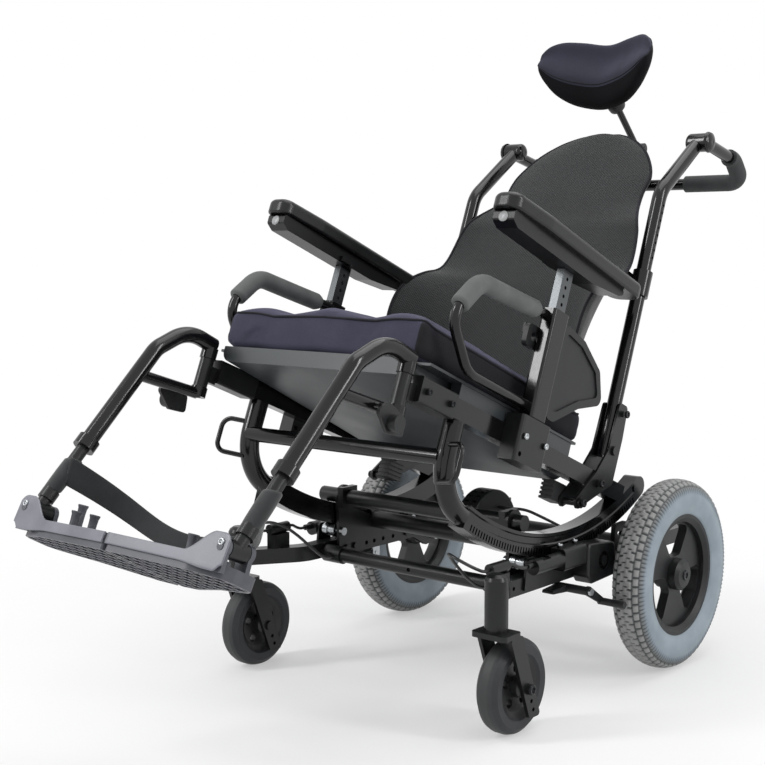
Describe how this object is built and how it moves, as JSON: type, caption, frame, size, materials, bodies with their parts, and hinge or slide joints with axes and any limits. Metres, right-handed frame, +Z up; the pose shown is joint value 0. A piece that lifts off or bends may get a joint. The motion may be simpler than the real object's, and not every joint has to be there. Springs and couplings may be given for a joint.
{
  "type": "tilt-in-space wheelchair",
  "caption": "Wheelchair whose seat frame tilts on curved rockers that roll on spools in a four-wheeled base, with wrap-round back, headrest, arms and swing-away footrests.",
  "frame": {"origin": "on the floor, below the middle of the chair's length and width", "axes": "+Z up, the chair faces -Y, the sitter's left is +X"},
  "size_m": [0.633, 1.3884, 1.1022],
  "materials": {
    "frame_black": "gloss",
    "steel": "satin",
    "black_plastic": "matte",
    "pan_grey": "matte",
    "cover_black": "matte",
    "foam_black": "matte",
    "tyre_grey": "matte"
  },
  "bodies": {
    "base": {"base_side_rails": "frame_black", "caster_stem_housings": "frame_black", "base_cross_tubes": "frame_black", "roller_brackets": "frame_black", "axle_pins": "steel", "drum_cover": "black_plastic", "tilt_lock_housings": "frame_black", "frame_castings": "frame_black", "base_cables": "black_plastic"},
    "front_rollers": {"front_rollers": "steel"},
    "rear_rollers": {"rear_rollers": "steel"},
    "seat": {"rockers": "frame_black", "rocker_tubes": "frame_black", "seat_rails": "frame_black", "seat_pan": "pan_grey", "seat_cushion": "cover_black", "hanger_receivers": "frame_black", "arm_sockets": "frame_black", "back_bracket_plates": "frame_black", "bumper_blocks": "foam_black"},
    "backrest": {"back_canes": "frame_black", "back_cushion": "cover_black", "headrest_bracket": "frame_black"},
    "push_handle": {"push_handle": "frame_black", "handle_grips": "foam_black"},
    "headrest_bar": {"headrest_bar": "frame_black"},
    "headrest_link": {"headrest_link": "frame_black"},
    "headrest_pad": {"headrest_pad": "cover_black"},
    "tilt_lock_jaw_left": {"tilt_lock_jaw_left": "steel"},
    "wheel_lock_left": {"wheel_lock_left": "frame_black"},
    "rear_wheel_left": {"rear_wheel_left": "black_plastic", "rear_tyre_left": "tyre_grey"},
    "caster_fork_left": {"caster_fork_left": "frame_black"},
    "caster_wheel_left": {"caster_wheel_left": "foam_black"},
    "arm_left": {"arm_frame_left": "frame_black", "side_guard_left": "black_plastic"},
    "arm_top_left": {"arm_post_left": "frame_black", "arm_pad_left": "foam_black"},
    "arm_latch_left": {"arm_latch_left": "black_plastic"},
    "hanger_left": {"hanger_left": "frame_black"},
    "hanger_latch_left": {"hanger_latch_left": "black_plastic"},
    "leg_left": {"leg_extension_left": "frame_black", "calf_strap_left": "cover_black"},
    "footplate_left": {"footplate_left": "black_plastic"},
    "tilt_lock_jaw_right": {"tilt_lock_jaw_right": "steel"},
    "wheel_lock_right": {"wheel_lock_right": "frame_black"},
    "rear_wheel_right": {"rear_wheel_right": "black_plastic", "rear_tyre_right": "tyre_grey"},
    "caster_fork_right": {"caster_fork_right": "frame_black"},
    "caster_wheel_right": {"caster_wheel_right": "foam_black"},
    "arm_right": {"arm_frame_right": "frame_black", "side_guard_right": "black_plastic"},
    "arm_top_right": {"arm_post_right": "frame_black", "arm_pad_right": "foam_black"},
    "arm_latch_right": {"arm_latch_right": "black_plastic"},
    "hanger_right": {"hanger_right": "frame_black"},
    "hanger_latch_right": {"hanger_latch_right": "black_plastic"},
    "leg_right": {"leg_extension_right": "frame_black", "calf_strap_right": "cover_black"},
    "footplate_right": {"footplate_right": "black_plastic"}
  },
  "joints": [
    {"name": "seat_tilt", "type": "hinge", "parent": "base", "child": "seat", "pos_m": [0, 0.07787, 0.741], "axis": [-1, 0, 0], "range_deg": [-22, 18]},
    {"name": "front_rollers_spin", "type": "hinge", "parent": "base", "child": "front_rollers", "pos_m": [0, -0.03366, 0.22512], "axis": [1, 0, 0], "range_deg": [-1032, 1032]},
    {"name": "rear_rollers_spin", "type": "hinge", "parent": "base", "child": "rear_rollers", "pos_m": [0, 0.15862, 0.21941], "axis": [1, 0, 0], "range_deg": [-1032, 1032]},
    {"name": "tilt_lock_left", "type": "slide", "parent": "base", "child": "tilt_lock_jaw_left", "axis": [1, 0, 0], "range_m": [0, 0.003]},
    {"name": "wheel_lock_left", "type": "hinge", "parent": "base", "child": "wheel_lock_left", "pos_m": [0.23, 0.07888, 0.166], "axis": [1, 0, 0], "range_deg": [0, 29]},
    {"name": "rear_wheel_left_spin", "type": "hinge", "parent": "base", "child": "rear_wheel_left", "pos_m": [0.286, 0.29487, 0.1618], "axis": [1, 0, 0], "continuous": true},
    {"name": "caster_left_swivel", "type": "hinge", "parent": "base", "child": "caster_fork_left", "pos_m": [0.267, -0.19412, 0.167], "axis": [0, 0, 1], "continuous": true},
    {"name": "caster_wheel_left_spin", "type": "hinge", "parent": "caster_fork_left", "child": "caster_wheel_left", "pos_m": [0.267, -0.15413, 0.072], "axis": [1, 0, 0], "continuous": true},
    {"name": "arm_left_lift_off", "type": "slide", "parent": "seat", "child": "arm_left", "axis": [0, 0.3746, 0.9272], "range_m": [0, 0.06]},
    {"name": "arm_left_height", "type": "slide", "parent": "arm_left", "child": "arm_top_left", "axis": [0, 0.3746, 0.9272], "range_m": [-0.04, 0.05]},
    {"name": "arm_latch_left", "type": "hinge", "parent": "arm_left", "child": "arm_latch_left", "pos_m": [0.214, -0.03406, 0.59209], "axis": [1, 0, 0], "range_deg": [-30, 0]},
    {"name": "hanger_left_swing", "type": "hinge", "parent": "seat", "child": "hanger_left", "pos_m": [0.2, -0.33236, 0.51847], "axis": [0, 0.3746, 0.9272], "range_deg": [0, 85], "deforming": ["calf_strap_right"]},
    {"name": "hanger_latch_left", "type": "hinge", "parent": "hanger_left", "child": "hanger_latch_left", "pos_m": [0.2, -0.39646, 0.50662], "axis": [1, 0, 0], "range_deg": [-20, 0]},
    {"name": "leg_left_length", "type": "slide", "parent": "hanger_left", "child": "leg_left", "axis": [0, -0.717, -0.697], "range_m": [-0.01, 0.04]},
    {"name": "footplate_left_flip", "type": "hinge", "parent": "leg_left", "child": "footplate_left", "pos_m": [0.197, -0.64807, 0.34835], "axis": [0, 0.9272, -0.3746], "range_deg": [0, 70], "deforming": ["calf_strap_right"]},
    {"name": "tilt_lock_right", "type": "slide", "parent": "base", "child": "tilt_lock_jaw_right", "axis": [-1, 0, 0], "range_m": [0, 0.003]},
    {"name": "wheel_lock_right", "type": "hinge", "parent": "base", "child": "wheel_lock_right", "pos_m": [-0.23, 0.07888, 0.166], "axis": [1, 0, 0], "range_deg": [0, 29]},
    {"name": "rear_wheel_right_spin", "type": "hinge", "parent": "base", "child": "rear_wheel_right", "pos_m": [-0.286, 0.29487, 0.1618], "axis": [1, 0, 0], "continuous": true},
    {"name": "caster_right_swivel", "type": "hinge", "parent": "base", "child": "caster_fork_right", "pos_m": [-0.267, -0.19412, 0.167], "axis": [0, 0, 1], "continuous": true},
    {"name": "caster_wheel_right_spin", "type": "hinge", "parent": "caster_fork_right", "child": "caster_wheel_right", "pos_m": [-0.267, -0.15413, 0.072], "axis": [1, 0, 0], "continuous": true},
    {"name": "arm_right_lift_off", "type": "slide", "parent": "seat", "child": "arm_right", "axis": [0, 0.3746, 0.9272], "range_m": [0, 0.06]},
    {"name": "arm_right_height", "type": "slide", "parent": "arm_right", "child": "arm_top_right", "axis": [0, 0.3746, 0.9272], "range_m": [-0.04, 0.05]},
    {"name": "arm_latch_right", "type": "hinge", "parent": "arm_right", "child": "arm_latch_right", "pos_m": [-0.214, -0.03406, 0.59209], "axis": [1, 0, 0], "range_deg": [-30, 0]},
    {"name": "hanger_right_swing", "type": "hinge", "parent": "seat", "child": "hanger_right", "pos_m": [-0.2, -0.33236, 0.51847], "axis": [0, -0.3746, -0.9272], "range_deg": [0, 85], "deforming": ["calf_strap_right"]},
    {"name": "hanger_latch_right", "type": "hinge", "parent": "hanger_right", "child": "hanger_latch_right", "pos_m": [-0.2, -0.39646, 0.50662], "axis": [1, 0, 0], "range_deg": [-20, 0]},
    {"name": "leg_right_length", "type": "slide", "parent": "hanger_right", "child": "leg_right", "axis": [0, -0.717, -0.697], "range_m": [-0.01, 0.04]},
    {"name": "footplate_right_flip", "type": "hinge", "parent": "leg_right", "child": "footplate_right", "pos_m": [-0.197, -0.64807, 0.34835], "axis": [0, -0.9272, 0.3746], "range_deg": [0, 70], "deforming": ["calf_strap_right"]},
    {"name": "back_recline", "type": "hinge", "parent": "seat", "child": "backrest", "pos_m": [0, 0.21291, 0.37582], "axis": [-1, 0, 0], "range_deg": [-5, 20]},
    {"name": "push_handle_swing", "type": "hinge", "parent": "backrest", "child": "push_handle", "pos_m": [0, 0.52617, 0.90824], "axis": [1, 0, 0], "range_deg": [-15, 30]},
    {"name": "headrest_height", "type": "slide", "parent": "backrest", "child": "headrest_bar", "axis": [0, 0.3746, 0.9272], "range_m": [-0.03, 0.05]},
    {"name": "headrest_link_tilt", "type": "hinge", "parent": "headrest_bar", "child": "headrest_link", "pos_m": [0, 0.65989, 0.91354], "axis": [1, 0, 0], "range_deg": [-20, 8]},
    {"name": "headrest_pad_tilt", "type": "hinge", "parent": "headrest_link", "child": "headrest_pad", "pos_m": [0, 0.57937, 0.98921], "axis": [1, 0, 0], "range_deg": [-15, 15]}
  ],
  "couplings": [
    {"joint": "front_rollers_spin", "follows": "seat_tilt", "ratio": 44.87},
    {"joint": "rear_rollers_spin", "follows": "seat_tilt", "ratio": 44.87}
  ]
}
